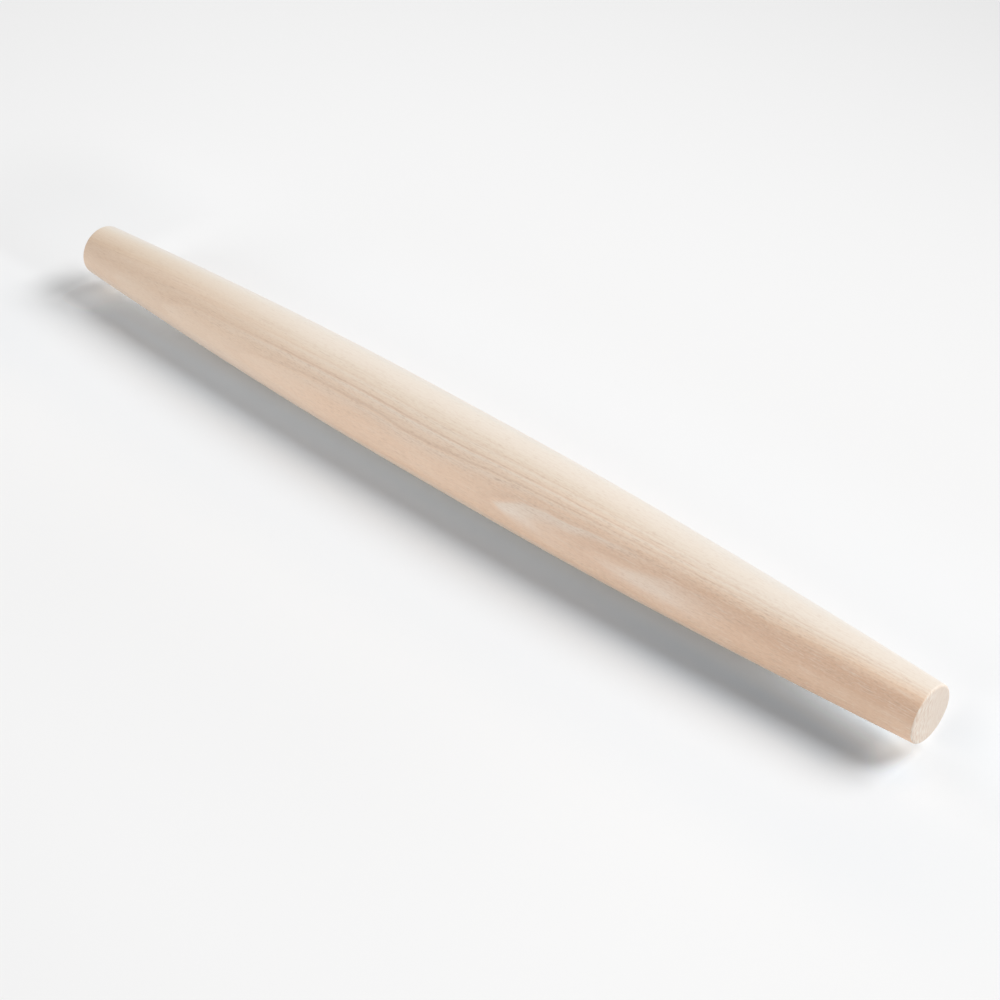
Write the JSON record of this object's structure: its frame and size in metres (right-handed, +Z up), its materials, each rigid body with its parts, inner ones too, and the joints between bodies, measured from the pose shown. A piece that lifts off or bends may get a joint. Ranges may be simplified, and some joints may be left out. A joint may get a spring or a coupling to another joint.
{
  "type": "french rolling pin",
  "caption": "Solid turned wooden rolling pin without handles, thickest at the middle and tapered to flat round ends, for rolling out pastry and dough by hand.",
  "frame": {"origin": "under the middle of the belly, on the surface that the pin lies on", "axes": "+X along the turning axis, towards the end that is nearest the viewer in the picture; +Z up; the turning axis lies 0.020 m above the origin"},
  "size_m": [0.5, 0.04, 0.04],
  "materials": {
    "beech": "turned and finely sanded pale beech, left without varnish, satin"
  },
  "bodies": {
    "root": {"rolling_pin": "beech"}
  },
  "joints": []
}
